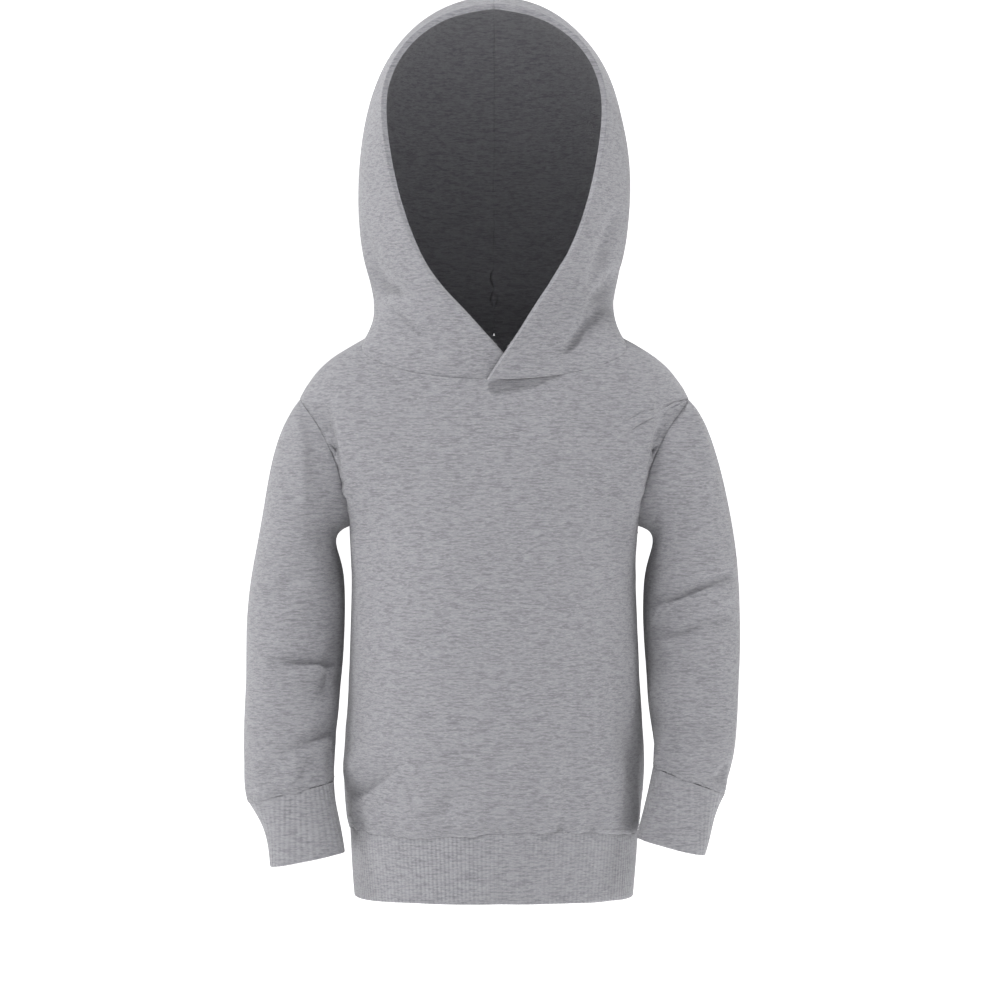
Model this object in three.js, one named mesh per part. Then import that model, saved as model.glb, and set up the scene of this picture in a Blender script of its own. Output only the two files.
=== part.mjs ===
// A toddler's pullover hooded sweatshirt with its hood up, hollow, as it hangs on a wearer
// whose arms are down. It is sewn from nine pieces: a front and a back, two sleeves, two rib
// cuffs, a rib waistband and the two halves of a hood. Each piece is a wall of cloth.
//
// Millimetres, +Z up. The wearer faces -Y, so the wearer's left is +X. The origin is between
// the two points where the neck seam crosses the tops of the shoulders.

import * as THREE from "three";

// ---- Driving dimensions ----------------------------------------------------------------

const FLEECE = 2.0; // thickness of the body, sleeves and hood
const RIB = 3.0; // thickness of the doubled rib of the waistband and cuffs
const SEAM_GAP = 0.5; // space between two sewn pieces
const SQUARENESS = 2.3; // 2 makes an ellipse, more makes a boxier ring

const HEM_Z = -376;
const BAND_SEAM_Z = -330; // where the waistband joins the body
const ARMPIT_Z = -125;
const SHOULDER_TIP_Z = -38; // where the shoulder seam meets the armhole
const NECK_POINT_Z = 3; // where the shoulder seam meets the neck seam
const ARMHOLE = { front: 35, back: 33 }; // how far it reaches from the side seam
const LAP_LIFT = 5.6; // from the lower layer's face of the hood's lap to the upper layer's

// How finely each piece is divided. Neighbours share their seam's points.
const SIDE_ROWS = 6;
const ARMHOLE_ROWS = 10;
const SHOULDER_ROWS = 3;
const HALF_PANEL_COLUMNS = 10;
const SLEEVE_ROWS = 14;
const CUFF_ROWS = 3;
const BAND_ROWS = 2;
const HOOD_ROWS = 13;

// ---- The form: rings of the body, sleeves and hood ---------------------------------------

// Level rings of the body. front and back are its depth on each side of the side seams.
const BODY_RINGS = [
  { z: -376, halfWidth: 95, front: 83, back: 77 },
  { z: -352, halfWidth: 97, front: 85, back: 79 },
  { z: -330, halfWidth: 98, front: 87, back: 80 },
  { z: -314, halfWidth: 102, front: 92, back: 84 },
  { z: -288, halfWidth: 103, front: 94, back: 84 },
  { z: -235, halfWidth: 99, front: 90, back: 77 },
  { z: -175, halfWidth: 97, front: 84, back: 74 },
  { z: -125, halfWidth: 97, front: 80, back: 75 },
  { z: -85, halfWidth: 115, front: 75, back: 75 },
  { z: -55, halfWidth: 127, front: 70, back: 72 },
  { z: -38, halfWidth: 132, front: 67, back: 69 },
  { z: -24, halfWidth: 124, front: 64, back: 66 },
  { z: -10, halfWidth: 111, front: 60, back: 61 },
  { z: 3, halfWidth: 87, front: 54, back: 54 },
  { z: 12, halfWidth: 78, front: 48, back: 48 },
];

// The height of a body panel's centre line at each of its rows, from waistband to neck.
const FRONT_CENTRE = [
  { row: 0, z: BAND_SEAM_Z },
  { row: 6, z: -165 },
  { row: 16, z: -48 },
  { row: 19, z: -27 },
];
const BACK_CENTRE = [
  { row: 0, z: BAND_SEAM_Z },
  { row: 6, z: -150 },
  { row: 16, z: -28 },
  { row: 19, z: 6 },
];

const FRONT = { sign: -1, depth: "front", centre: FRONT_CENTRE };
const BACK = { sign: 1, depth: "back", centre: BACK_CENTRE };

// Rings of a sleeve and its cuff. down is the way along the arm from the armhole, outer and
// inner are the ring's ends away from and next to the body, midY and halfDepth its depth.
const RIGHT_ARM_RINGS = [
  { down: 0, outerX: 132, outerZ: -38, innerX: 97, innerZ: -125, midY: 1, halfDepth: 34 },
  { down: 16, outerX: 141, outerZ: -51, innerX: 105, innerZ: -128, midY: 1, halfDepth: 38 },
  { down: 34, outerX: 148, outerZ: -68, innerX: 108, innerZ: -134, midY: 2, halfDepth: 41 },
  { down: 60, outerX: 154, outerZ: -93, innerX: 106, innerZ: -143, midY: 3, halfDepth: 43 },
  { down: 95, outerX: 160, outerZ: -128, innerX: 102, innerZ: -157, midY: 4, halfDepth: 44 },
  { down: 130, outerX: 166, outerZ: -163, innerX: 101, innerZ: -178, midY: 5, halfDepth: 43 },
  { down: 165, outerX: 169, outerZ: -197, innerX: 101.5, innerZ: -203, midY: 4, halfDepth: 42 },
  { down: 200, outerX: 169, outerZ: -232, innerX: 102.5, innerZ: -231, midY: -2, halfDepth: 40 },
  { down: 235, outerX: 170, outerZ: -266, innerX: 105, innerZ: -261, midY: -12, halfDepth: 37 },
  { down: 266, outerX: 169, outerZ: -296, innerX: 107.5, innerZ: -284, midY: -22, halfDepth: 33 },
  { down: 284, outerX: 166, outerZ: -311, innerX: 107.5, innerZ: -297, midY: -27, halfDepth: 28 },
  { down: 293, outerX: 158, outerZ: -321, innerX: 108, innerZ: -304, midY: -31, halfDepth: 25 },
  { down: 307, outerX: 153, outerZ: -336, innerX: 104, innerZ: -320, midY: -35, halfDepth: 23 },
  { down: 326, outerX: 151, outerZ: -354, innerX: 100, innerZ: -344, midY: -38, halfDepth: 23 },
];
const LEFT_ARM_RINGS = [
  { down: 0, outerX: 132, outerZ: -38, innerX: 97, innerZ: -125, midY: 1, halfDepth: 34 },
  { down: 16, outerX: 142, outerZ: -51, innerX: 105, innerZ: -128, midY: 1, halfDepth: 38 },
  { down: 34, outerX: 149, outerZ: -68, innerX: 108, innerZ: -134, midY: 2, halfDepth: 41 },
  { down: 60, outerX: 156, outerZ: -93, innerX: 106, innerZ: -143, midY: 3, halfDepth: 43 },
  { down: 95, outerX: 163, outerZ: -128, innerX: 102, innerZ: -157, midY: 4, halfDepth: 44 },
  { down: 130, outerX: 167, outerZ: -161, innerX: 101, innerZ: -178, midY: 5, halfDepth: 43 },
  { down: 165, outerX: 168, outerZ: -196, innerX: 101.5, innerZ: -202, midY: 4, halfDepth: 42 },
  { down: 200, outerX: 167, outerZ: -230, innerX: 102.5, innerZ: -228, midY: -2, halfDepth: 40 },
  { down: 233, outerX: 165, outerZ: -262, innerX: 104.5, innerZ: -255, midY: -14, halfDepth: 37 },
  { down: 260, outerX: 161, outerZ: -288, innerX: 106.5, innerZ: -275, midY: -26, halfDepth: 33 },
  { down: 278, outerX: 156, outerZ: -305, innerX: 106.5, innerZ: -287, midY: -32, halfDepth: 28 },
  { down: 287, outerX: 150, outerZ: -315, innerX: 105, innerZ: -294, midY: -36, halfDepth: 25 },
  { down: 301, outerX: 147, outerZ: -330, innerX: 101, innerZ: -312, midY: -40, halfDepth: 23 },
  { down: 319, outerX: 142, outerZ: -346, innerX: 95, innerZ: -334, midY: -43, halfDepth: 23 },
];
const RIGHT_CUFF_SEAM = 284; // where each cuff starts, as a way down the arm
const LEFT_CUFF_SEAM = 278;
const ARMHOLE_FADE = 60; // how far down a sleeve the armhole's own outline still shows

// Level rows of the hood, from the neck seam up to the seam over the crown. open is the
// front edge round the face, side is the widest point and back is on the centre seam.
const HOOD_RINGS = [
  { row: 0, openX: -4, openY: -64, openZ: -27, sideX: 87, sideY: 0, sideZ: 3, backY: 51, backZ: 6 },
  { row: 1, openX: 26, openY: -70, openZ: 19, sideX: 80, sideY: 4, sideZ: 18, backY: 54, backZ: 26 },
  { row: 2, openX: 47, openY: -68, openZ: 48, sideX: 88, sideY: 6, sideZ: 45, backY: 66, backZ: 48 },
  { row: 3, openX: 60, openY: -65, openZ: 76, sideX: 92, sideY: 8, sideZ: 74, backY: 83, backZ: 70 },
  { row: 4, openX: 69, openY: -64, openZ: 106, sideX: 93, sideY: 9, sideZ: 103, backY: 97, backZ: 95 },
  { row: 5, openX: 74, openY: -65, openZ: 136, sideX: 91, sideY: 9, sideZ: 132, backY: 105, backZ: 123 },
  { row: 6, openX: 76, openY: -68, openZ: 163, sideX: 86, sideY: 9, sideZ: 159, backY: 106, backZ: 153 },
  { row: 7, openX: 67, openY: -71, openZ: 188, sideX: 76, sideY: 7, sideZ: 186, backY: 99, backZ: 184 },
  { row: 8, openX: 50, openY: -74, openZ: 207, sideX: 59, sideY: 4, sideZ: 210, backY: 84, backZ: 210 },
  { row: 9, openX: 27, openY: -76, openZ: 219, sideX: 33, sideY: 0, sideZ: 229, backY: 62, backZ: 227 },
  { row: 10, openX: 0, openY: -77, openZ: 223, sideX: 0, sideY: -6, sideZ: 236, backY: 32, backZ: 235 },
];
const TOP_HOOD_ROW = 10;
const LAP_COLUMNS = 1; // columns of the hood that pass the centre of the neck seam
const HOOD_COLUMNS = LAP_COLUMNS + 2 * HALF_PANEL_COLUMNS;
const HOOD_HEM_COLUMNS = 2; // columns that the hem turned in round the face makes double
const OVER_LAP = -0.02; // how far each half passes the centre, in turns of the front ring
const UNDER_LAP = -0.08;

// ---- Folds ------------------------------------------------------------------------------

// Each fold is a soft ridge, or a trough where height is negative, along a straight line.
// On the body and hood the line is as seen from the front or back, in X and Z. On a sleeve
// it is by the way round, in degrees from the outer side to the front, and the way down.
const FRONT_FOLDS = [
  { from: [-92, -62], to: [-90, -185], reach: 8, height: 3 },
  { from: [-114, -50], to: [-103, -100], reach: 10, height: -4 },
  { from: [94, -50], to: [90, -150], reach: 8, height: 3 },
  { from: [114, -50], to: [103, -100], reach: 10, height: -4 },
  { from: [-104, -312], to: [-62, -282], reach: 9, height: -4 },
  { from: [-98, -288], to: [-76, -276], reach: 9, height: 3 },
  { from: [-20, -318], to: [2, -292], reach: 12, height: -2.5 },
  { from: [54, -322], to: [50, -270], reach: 11, height: -3 },
  { from: [86, -250], to: [98, -300], reach: 10, height: -3 },
];
const BACK_FOLDS = [
  { from: [-90, -60], to: [-84, -170], reach: 9, height: 3 },
  { from: [90, -60], to: [85, -160], reach: 9, height: 3 },
  { from: [-30, -316], to: [-14, -262], reach: 12, height: -3.5 },
  { from: [34, -318], to: [48, -272], reach: 12, height: -3.5 },
  { from: [-88, -306], to: [-50, -290], reach: 10, height: -3 },
];
const RIGHT_SLEEVE_FOLDS = [
  { from: [40, 168], to: [150, 172], reach: 8, height: -4 },
  { from: [60, 232], to: [165, 205], reach: 9, height: -4 },
  { from: [75, 262], to: [170, 238], reach: 7, height: -3 },
  { from: [225, 160], to: [300, 178], reach: 9, height: -4 },
  { from: [215, 214], to: [300, 234], reach: 9, height: -4 },
  { from: [120, 60], to: [150, 110], reach: 9, height: -4 },
];
const LEFT_SLEEVE_FOLDS = [
  { from: [20, 148], to: [150, 178], reach: 9, height: -4 },
  { from: [80, 205], to: [165, 196], reach: 9, height: -4 },
  { from: [60, 250], to: [165, 238], reach: 8, height: -3.5 },
  { from: [225, 165], to: [300, 150], reach: 9, height: -4 },
  { from: [215, 228], to: [300, 208], reach: 9, height: -4 },
  { from: [100, 40], to: [140, 105], reach: 9, height: -4 },
];
const HOOD_RIGHT_FOLDS = [
  { from: [-78, 34], to: [-40, -12], reach: 8, height: -4 },
  { from: [-60, 40], to: [-24, -8], reach: 8, height: 2.5 },
];
const HOOD_LEFT_FOLDS = [
  { from: [76, 30], to: [46, -14], reach: 8, height: -4 },
  { from: [60, 40], to: [30, -6], reach: 8, height: 2.5 },
];

// ---- Working out the form -----------------------------------------------------------------

// Reads one column of a table at a place between its rows, on a smooth curve through them.
function read(table, key, column, at) {
  const last = table.length - 1;
  let i = 0;
  while (i < last - 1 && at > table[i + 1][key]) i += 1;
  const slopeAt = (k) => {
    const a = table[Math.max(k - 1, 0)];
    const b = table[Math.min(k + 1, last)];
    return (b[column] - a[column]) / (b[key] - a[key]);
  };
  const [p, q] = [table[i], table[i + 1]];
  const span = q[key] - p[key];
  const t = (at - p[key]) / span;
  const rest = 1 - t;
  return (
    p[column] * (1 + 2 * t) * rest * rest +
    q[column] * (3 - 2 * t) * t * t +
    slopeAt(i) * span * t * rest * rest -
    slopeAt(i + 1) * span * t * t * rest
  );
}

const mix = (a, b, t) => a + (b - a) * t;
const ease = (t) => {
  const c = Math.min(Math.max(t, 0), 1);
  return c * c * (3 - 2 * c);
};
const rounded = (value) => Math.sign(value) * Math.abs(value) ** (2 / SQUARENESS);

// A point of the body's form. turn is -1 at the right side seam, 0 at the centre, 1 at the left.
function bodyPoint(face, turn, z) {
  const angle = (turn * Math.PI) / 2;
  return new THREE.Vector3(
    read(BODY_RINGS, "z", "halfWidth", z) * rounded(Math.sin(angle)),
    face.sign * read(BODY_RINGS, "z", face.depth, z) * rounded(Math.cos(angle)),
    z,
  );
}

// The armhole is an ellipse as seen from the side. angle is 0 at the shoulder tip and pi at
// the armpit. Gives the height and the turn of its edge on that face of the body.
function armholeEdge(face, angle) {
  const middle = (SHOULDER_TIP_Z + ARMPIT_Z) / 2;
  const z = middle + (SHOULDER_TIP_Z - middle) * Math.cos(angle);
  const share = (ARMHOLE[face.depth] * Math.sin(angle)) / read(BODY_RINGS, "z", face.depth, z);
  return { z, turn: (2 / Math.PI) * Math.acos(Math.max(share, 0) ** (SQUARENESS / 2)) };
}

// A body panel's edge: up the side seam, round the armhole and along the shoulder seam.
function panelEdge(face, row) {
  if (row <= SIDE_ROWS) {
    return { z: mix(BAND_SEAM_Z, ARMPIT_Z, row / SIDE_ROWS), turn: 1 };
  }
  if (row <= SIDE_ROWS + ARMHOLE_ROWS) {
    return armholeEdge(face, Math.PI * (1 - (row - SIDE_ROWS) / ARMHOLE_ROWS));
  }
  const t = (row - SIDE_ROWS - ARMHOLE_ROWS) / SHOULDER_ROWS;
  return { z: mix(SHOULDER_TIP_Z, NECK_POINT_Z, t), turn: 1 };
}

const PANEL_ROWS = SIDE_ROWS + ARMHOLE_ROWS + SHOULDER_ROWS;
// The waistband's seam rises and dips a little where the body is gathered onto it.
const seamWave = (turn, face) => 2.2 * Math.sin(5.5 * turn + (face === FRONT ? 0.4 : 2.1)) * (1 - turn ** 8);

function panelPoint(face, across, row) {
  const edge = panelEdge(face, row);
  const centre = read(face.centre, "row", "z", row);
  const level = mix(centre, edge.z, ease(Math.abs(across)));
  const wave = seamWave(across, face) * (1 - ease(row / SIDE_ROWS));
  return bodyPoint(face, across * edge.turn, level + wave);
}

// A point of a sleeve or cuff. round is 0 at the outer side, a quarter turn at the front.
function armPoint(arm, round, down) {
  const ringAt = (way) => {
    const at = (column) => read(arm.rings, "down", column, way);
    const outward = rounded(Math.cos(round));
    return new THREE.Vector3(
      arm.side * mix(at("innerX"), at("outerX"), (1 + outward) / 2),
      at("midY") - at("halfDepth") * rounded(Math.sin(round)),
      mix(at("innerZ"), at("outerZ"), (1 + outward) / 2),
    );
  };
  const face = round <= Math.PI ? FRONT : BACK;
  const edge = armholeEdge(face, round <= Math.PI ? round : 2 * Math.PI - round);
  const armhole = bodyPoint(face, arm.side * edge.turn, edge.z);
  const own = armhole.sub(ringAt(0));
  return ringAt(down).addScaledVector(own, 1 - ease(down / ARMHOLE_FADE));
}

// The neck seam, which the hood's lowest row follows. column counts from the front edge.
function neckPoint(half, column) {
  if (column >= LAP_COLUMNS + HALF_PANEL_COLUMNS) {
    const across = 1 - (column - LAP_COLUMNS - HALF_PANEL_COLUMNS) / HALF_PANEL_COLUMNS;
    return panelPoint(BACK, half.side * across, PANEL_ROWS);
  }
  const past = (LAP_COLUMNS - column) / LAP_COLUMNS;
  const across = column < LAP_COLUMNS ? half.lap * past : (column - LAP_COLUMNS) / HALF_PANEL_COLUMNS;
  return panelPoint(FRONT, half.side * across, PANEL_ROWS);
}

// A row of the hood runs from the face edge, out to the widest point, then round to the back.
function hoodRing(half, column, row) {
  const at = (name) => read(HOOD_RINGS, "row", name, row);
  const t = column / HOOD_COLUMNS;
  const turnsBack = 0.5;
  if (t < turnsBack) {
    const f = 1 - t / turnsBack;
    return new THREE.Vector3(
      half.side * mix(at("sideX"), at("openX"), f ** 2.2),
      mix(at("sideY"), at("openY"), f),
      mix(at("sideZ"), at("openZ"), ease(f)),
    );
  }
  const angle = ((t - turnsBack) / (1 - turnsBack)) * (Math.PI / 2);
  return new THREE.Vector3(
    half.side * at("sideX") * rounded(Math.cos(angle)),
    mix(at("sideY"), at("backY"), rounded(Math.sin(angle))),
    mix(at("sideZ"), at("backZ"), ease((t - turnsBack) / (1 - turnsBack))),
  );
}

const NECK_FADE_ROWS = 1.6; // how many hood rows still show the neck seam's own outline

function hoodPoint(half, column, row) {
  const own = neckPoint(half, column).sub(hoodRing(half, column, 0));
  return hoodRing(half, column, row).addScaledVector(own, 1 - ease(row / NECK_FADE_ROWS));
}

const FOLD_FADE = 1.6; // how many rows or columns in from a seam a fold reaches its full height

// How high the folds raise a point that lies at (a, b) on their chart.
function foldHeight(folds, a, b, scaleA = 1) {
  let height = 0;
  for (const fold of folds) {
    const [fromA, toA] = [fold.from[0] * scaleA, fold.to[0] * scaleA];
    const [dA, dB] = [toA - fromA, fold.to[1] - fold.from[1]];
    const t = ((a * scaleA - fromA) * dA + (b - fold.from[1]) * dB) / (dA * dA + dB * dB);
    const c = Math.min(Math.max(t, 0), 1);
    const away = Math.hypot(a * scaleA - fromA - c * dA, b - fold.from[1] - c * dB);
    height += fold.height * Math.exp(-((away / fold.reach) ** 2));
  }
  return height;
}

// ---- The pieces as grids of points ----------------------------------------------------------

function grid(rows, columns, pointAt) {
  return Array.from({ length: rows + 1 }, (_, row) =>
    Array.from({ length: columns + 1 }, (_, column) => pointAt(row, column)),
  );
}

function bodyPanel(face, folds) {
  const columns = 2 * HALF_PANEL_COLUMNS;
  // Columns run so that each panel faces out: to the wearer's left on the front.
  const acrossAt = (column) => -face.sign * (column / HALF_PANEL_COLUMNS - 1);
  return {
    points: grid(PANEL_ROWS, columns, (row, column) => panelPoint(face, acrossAt(column), row)),
    fold: (p) => foldHeight(folds, p.x, p.z),
    lift: () => 0,
    thickness: () => FLEECE,
  };
}

const MM_PER_DEGREE = 0.62; // of the way round a sleeve

function armTube(arm, from, to, rows, folds, thickness) {
  const columns = 2 * ARMHOLE_ROWS;
  const roundAt = (column) => (2 * Math.PI * (column % columns)) / columns;
  const downAt = (row) => mix(from, to, row / rows);
  return {
    points: grid(rows, columns, (row, column) => armPoint(arm, roundAt(column), downAt(row))),
    fold: (p, row, column) =>
      foldHeight(folds, THREE.MathUtils.radToDeg(roundAt(column)), downAt(row), MM_PER_DEGREE),
    lift: () => 0,
    thickness: () => thickness,
    closed: true,
    mirrored: arm.side < 0,
  };
}

function waistband() {
  const columns = 4 * HALF_PANEL_COLUMNS;
  const pointAt = (row, column) => {
    const quarter = (column % columns) / HALF_PANEL_COLUMNS;
    const face = quarter < 2 ? FRONT : BACK;
    const across = quarter < 2 ? quarter - 1 : 3 - quarter;
    const top = BAND_SEAM_Z + seamWave(across, face);
    return bodyPoint(face, across, mix(HEM_Z, top, row / BAND_ROWS));
  };
  return {
    points: grid(BAND_ROWS, columns, pointAt),
    fold: () => 0,
    lift: () => 0,
    thickness: () => RIB,
    closed: true,
  };
}

function hoodHalf(half, folds) {
  const rowAt = (row) => (TOP_HOOD_ROW * row) / HOOD_ROWS;
  const nearLap = (p) => (1 - ease((Math.abs(p.x) - 18) / 30)) * (1 - ease(p.z / 30));
  return {
    points: grid(HOOD_ROWS, HOOD_COLUMNS, (row, column) => hoodPoint(half, column, rowAt(row))),
    fold: (p) => (p.y < 0 ? foldHeight(folds, p.x, p.z) : 0),
    lift: (p) => (p.y < 0 ? half.lift * nearLap(p) : 0),
    thickness: (column) => (column <= HOOD_HEM_COLUMNS ? 2 * FLEECE : FLEECE),
    mirrored: half.side < 0,
  };
}

const RIGHT_ARM = { side: -1, rings: RIGHT_ARM_RINGS };
const LEFT_ARM = { side: 1, rings: LEFT_ARM_RINGS };
const HOOD_RIGHT = { side: -1, lap: UNDER_LAP, lift: 0 };
const HOOD_LEFT = { side: 1, lap: OVER_LAP, lift: LAP_LIFT };
const RIGHT_ARM_END = RIGHT_ARM_RINGS.at(-1).down;
const LEFT_ARM_END = LEFT_ARM_RINGS.at(-1).down;

const PIECES = {
  front_panel: bodyPanel(FRONT, FRONT_FOLDS),
  back_panel: bodyPanel(BACK, BACK_FOLDS),
  sleeve_right: armTube(RIGHT_ARM, 0, RIGHT_CUFF_SEAM, SLEEVE_ROWS, RIGHT_SLEEVE_FOLDS, FLEECE),
  sleeve_left: armTube(LEFT_ARM, 0, LEFT_CUFF_SEAM, SLEEVE_ROWS, LEFT_SLEEVE_FOLDS, FLEECE),
  cuff_right: armTube(RIGHT_ARM, RIGHT_CUFF_SEAM, RIGHT_ARM_END, CUFF_ROWS, [], RIB),
  cuff_left: armTube(LEFT_ARM, LEFT_CUFF_SEAM, LEFT_ARM_END, CUFF_ROWS, [], RIB),
  waistband: waistband(),
  hood_right: hoodHalf(HOOD_RIGHT, HOOD_RIGHT_FOLDS),
  hood_left: hoodHalf(HOOD_LEFT, HOOD_LEFT_FOLDS),
};

// ---- From grids to walls of cloth -------------------------------------------------------------

const keyOf = (p) => [p.x, p.y, p.z].map((value) => Math.round(value * 100)).join();

// The outward direction at every point, shared by all the pieces that meet there, so that
// two walls end against each other at a seam.
function sharedNormals(pieces) {
  const normals = new Map();
  for (const piece of pieces) {
    const sign = piece.mirrored ? -1 : 1;
    for (let r = 0; r + 1 < piece.points.length; r += 1) {
      for (let c = 0; c + 1 < piece.points[r].length; c += 1) {
        const corners = [
          piece.points[r][c],
          piece.points[r][c + 1],
          piece.points[r + 1][c + 1],
          piece.points[r + 1][c],
        ];
        const face = new THREE.Vector3()
          .subVectors(corners[2], corners[0])
          .cross(new THREE.Vector3().subVectors(corners[3], corners[1]));
        for (const corner of corners) {
          const key = keyOf(corner);
          if (!normals.has(key)) normals.set(key, new THREE.Vector3());
          normals.get(key).addScaledVector(face, sign);
        }
      }
    }
  }
  for (const normal of normals.values()) normal.normalize();
  return normals;
}

// Which way an edge point moves to leave half the seam's gap: square to its edge, or at a
// corner as far from both of its edges.
function inset(piece, r, c) {
  const { points, closed } = piece;
  const lastRow = points.length - 1;
  const lastColumn = points[0].length - 1;
  const p = points[r][c];
  const toward = (row, column) => new THREE.Vector3().subVectors(points[row][column], p).normalize();
  const rowStep = r === 0 ? 1 : r === lastRow ? -1 : 0;
  const columnStep = closed ? 0 : c === 0 ? 1 : c === lastColumn ? -1 : 0;
  if (rowStep && columnStep) {
    const [a, b] = [toward(r + rowStep, c), toward(r, c + columnStep)];
    const sine = Math.max(new THREE.Vector3().crossVectors(a, b).length(), 0.4);
    return a.add(b).multiplyScalar(SEAM_GAP / 2 / sine);
  }
  if (!rowStep && !columnStep) return new THREE.Vector3();
  const along = rowStep
    ? [points[r][c === lastColumn ? 1 : c + 1], points[r][c === 0 ? lastColumn - 1 : c - 1]]
    : [points[r + 1][c], points[r - 1][c]];
  const edge = new THREE.Vector3().subVectors(...along).normalize();
  const inward = toward(r + rowStep, c + columnStep);
  return inward.addScaledVector(edge, -inward.dot(edge)).setLength(SEAM_GAP / 2);
}

// A closed wall: the outer face, the inner face and the edges between them.
function wall(piece, normals) {
  const { points, closed } = piece;
  const rows = points.length;
  const columns = points[0].length - (closed ? 1 : 0);
  const outer = [];
  const inner = [];
  for (let r = 0; r < rows; r += 1) {
    for (let c = 0; c < columns; c += 1) {
      const out = normals.get(keyOf(points[r][c]));
      const inFromEdge = Math.min(r, rows - 1 - r, closed ? r : Math.min(c, columns - 1 - c));
      const height = piece.fold(points[r][c], r, c) * ease(inFromEdge / FOLD_FADE);
      const top = points[r][c].clone().addScaledVector(out, height + piece.lift(points[r][c]));
      top.add(inset(piece, r, c));
      outer.push(top);
      inner.push(top.clone().addScaledVector(out, -piece.thickness(c)));
    }
  }
  const index = [];
  const at = (r, c) => r * columns + (c % columns);
  const under = outer.length;
  const quad = (a, b, c, d) => index.push(a, b, c, a, c, d);
  // An edge's quads are split from their lower end, so that both sides of a seam match.
  const edgeQuad = (a, b) => {
    const order = outer[a].z + outer[a].x / 7 < outer[b].z + outer[b].x / 7;
    if (order) quad(a, b, b + under, a + under);
    else quad(b, b + under, a + under, a);
  };
  const lastColumn = closed ? columns : columns - 1;
  for (let r = 0; r + 1 < rows; r += 1) {
    for (let c = 0; c < lastColumn; c += 1) {
      const [a, b, d, e] = [at(r, c), at(r, c + 1), at(r + 1, c + 1), at(r + 1, c)];
      quad(a, b, d, e);
      quad(e + under, d + under, b + under, a + under);
    }
  }
  for (let c = 0; c < lastColumn; c += 1) {
    edgeQuad(at(0, c + 1), at(0, c));
    edgeQuad(at(rows - 1, c), at(rows - 1, c + 1));
  }
  for (let r = 0; r + 1 < rows && !closed; r += 1) {
    edgeQuad(at(r, 0), at(r + 1, 0));
    edgeQuad(at(r + 1, columns - 1), at(r, columns - 1));
  }
  if (piece.mirrored) index.reverse();
  const geometry = new THREE.BufferGeometry().setFromPoints([...outer, ...inner]);
  geometry.setIndex(index);
  geometry.computeVertexNormals();
  return geometry;
}

const heather = new THREE.MeshStandardMaterial({ color: 0x9d9da1, roughness: 0.95, metalness: 0 });
const rib = new THREE.MeshStandardMaterial({ color: 0x98989c, roughness: 0.95, metalness: 0 });

const sweatshirt = new THREE.Group();
const normals = sharedNormals(Object.values(PIECES));
for (const [name, piece] of Object.entries(PIECES)) {
  const mesh = new THREE.Mesh(wall(piece, normals), piece.thickness(0) === RIB ? rib : heather);
  mesh.name = name;
  sweatshirt.add(mesh);
}

export default sweatshirt;
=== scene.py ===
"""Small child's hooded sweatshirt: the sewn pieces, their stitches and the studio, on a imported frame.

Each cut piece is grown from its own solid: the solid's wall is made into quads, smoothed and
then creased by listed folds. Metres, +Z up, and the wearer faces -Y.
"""

import math

import bmesh
import bpy
import numpy as np
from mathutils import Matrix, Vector
from mathutils.bvhtree import BVHTree
from mathutils.kdtree import KDTree


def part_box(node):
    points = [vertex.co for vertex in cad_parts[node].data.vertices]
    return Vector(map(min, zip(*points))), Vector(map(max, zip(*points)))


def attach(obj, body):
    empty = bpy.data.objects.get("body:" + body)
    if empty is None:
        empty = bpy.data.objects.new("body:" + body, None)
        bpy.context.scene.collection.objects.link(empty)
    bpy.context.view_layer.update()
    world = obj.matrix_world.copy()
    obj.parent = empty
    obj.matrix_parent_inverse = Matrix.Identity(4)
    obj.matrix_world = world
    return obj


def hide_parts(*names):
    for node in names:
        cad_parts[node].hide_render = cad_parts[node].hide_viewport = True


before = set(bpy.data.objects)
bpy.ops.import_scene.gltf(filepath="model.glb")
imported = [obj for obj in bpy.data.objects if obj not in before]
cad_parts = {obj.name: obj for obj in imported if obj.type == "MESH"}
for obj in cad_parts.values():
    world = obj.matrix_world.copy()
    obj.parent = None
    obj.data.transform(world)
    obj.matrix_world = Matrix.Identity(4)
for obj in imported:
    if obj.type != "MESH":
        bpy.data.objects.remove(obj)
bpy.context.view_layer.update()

bl_info = {
    "name": "Hooded Sweatshirt",
    "version": (1, 0, 0),
    "blender": (4, 5, 0),
    "location": "3D View > Sidebar > Sweatshirt",
    "description": "Builds a small child's hooded sweatshirt and its studio",
    "category": "Object",
}

MM = 0.001
BODY = "root"


def node_mid(node):
    low, high = (np.array(corner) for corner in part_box(node))
    return (low + high) / 2


def node_low(node):
    return np.array(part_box(node)[0])


def node_high(node):
    return np.array(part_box(node)[1])


HEM_Z = node_low("waistband")[2]
HOOD_TOP_Z = node_high("hood_left")[2]

# ---- The cut of each piece -----------------------------------------------------------------

# flat is the rectangle a piece is cut from, in metres, and area the cloth it takes, in square metres.
CUTS = {
    "front_panel": {"flat": (0.310, 0.350), "area": 0.0930, "slot": "fleece"},
    "back_panel": {"flat": (0.310, 0.380), "area": 0.0970, "slot": "fleece"},
    "sleeve_right": {"flat": (0.225, 0.315), "area": 0.0520, "slot": "fleece"},
    "sleeve_left": {"flat": (0.225, 0.310), "area": 0.0505, "slot": "fleece"},
    "cuff_right": {"flat": (0.160, 0.047), "area": 0.0075, "slot": "rib"},
    "cuff_left": {"flat": (0.160, 0.047), "area": 0.0075, "slot": "rib"},
    "waistband": {"flat": (0.570, 0.047), "area": 0.0267, "slot": "rib"},
    "hood_right": {"flat": (0.260, 0.305), "area": 0.0600, "slot": "fleece"},
    "hood_left": {"flat": (0.260, 0.305), "area": 0.0600, "slot": "fleece"},
}

# ---- Folds -----------------------------------------------------------------------------------

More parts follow.
